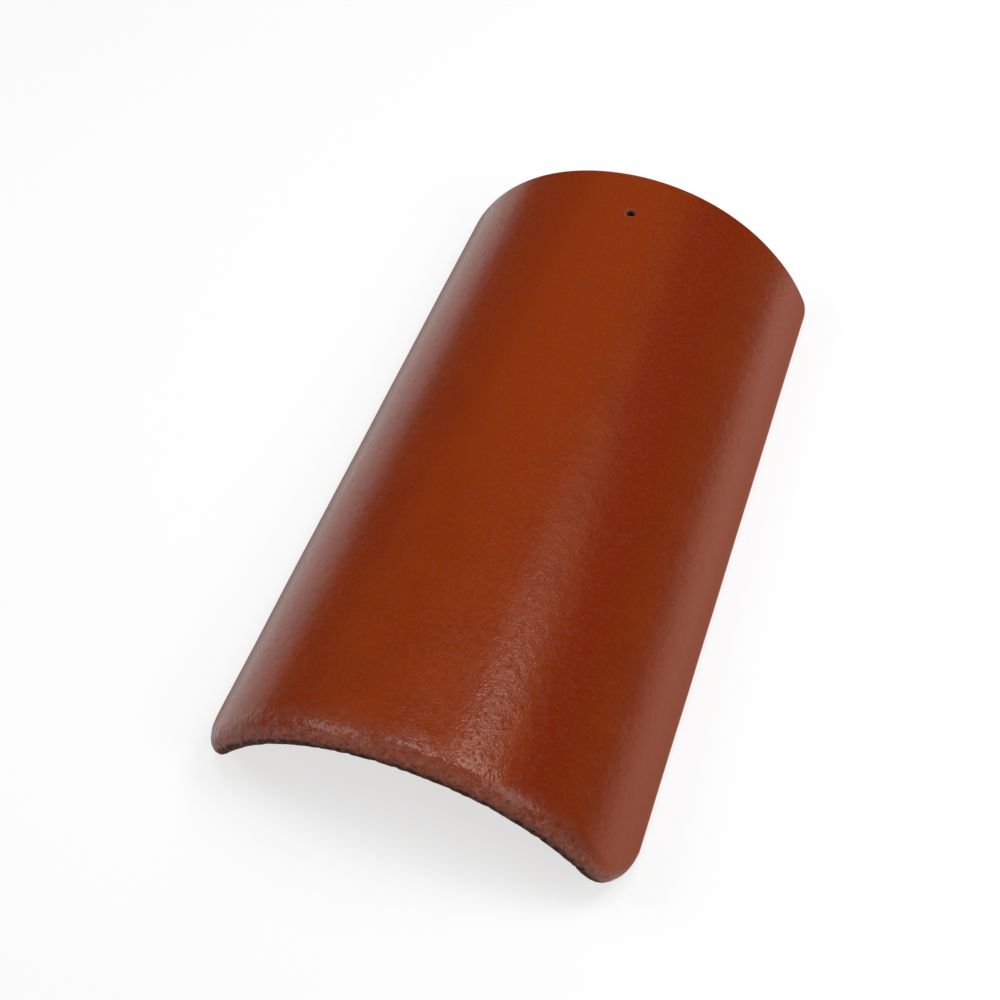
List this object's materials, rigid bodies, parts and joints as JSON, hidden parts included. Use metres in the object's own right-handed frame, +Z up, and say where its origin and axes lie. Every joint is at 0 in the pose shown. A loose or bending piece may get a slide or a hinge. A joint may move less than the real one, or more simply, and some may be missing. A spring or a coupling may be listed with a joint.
{
  "type": "clay roof tile",
  "caption": "Tapered barrel roof tile for ridges and hips: an arched wall with a rounded nose, a square-cut head with a nail hole, and two flat rims to lie on.",
  "frame": {"origin": "on the ground under the middle of the tile, midway between its rims and between its nose and head", "axes": "+Z up, +Y along the tile from its rounded nose to its nailed head, +X across the arch"},
  "size_m": [0.2456, 0.421, 0.0954],
  "materials": {
    "fired_clay": "satin"
  },
  "bodies": {
    "root": {"barrel_tile": "fired_clay"}
  },
  "joints": []
}
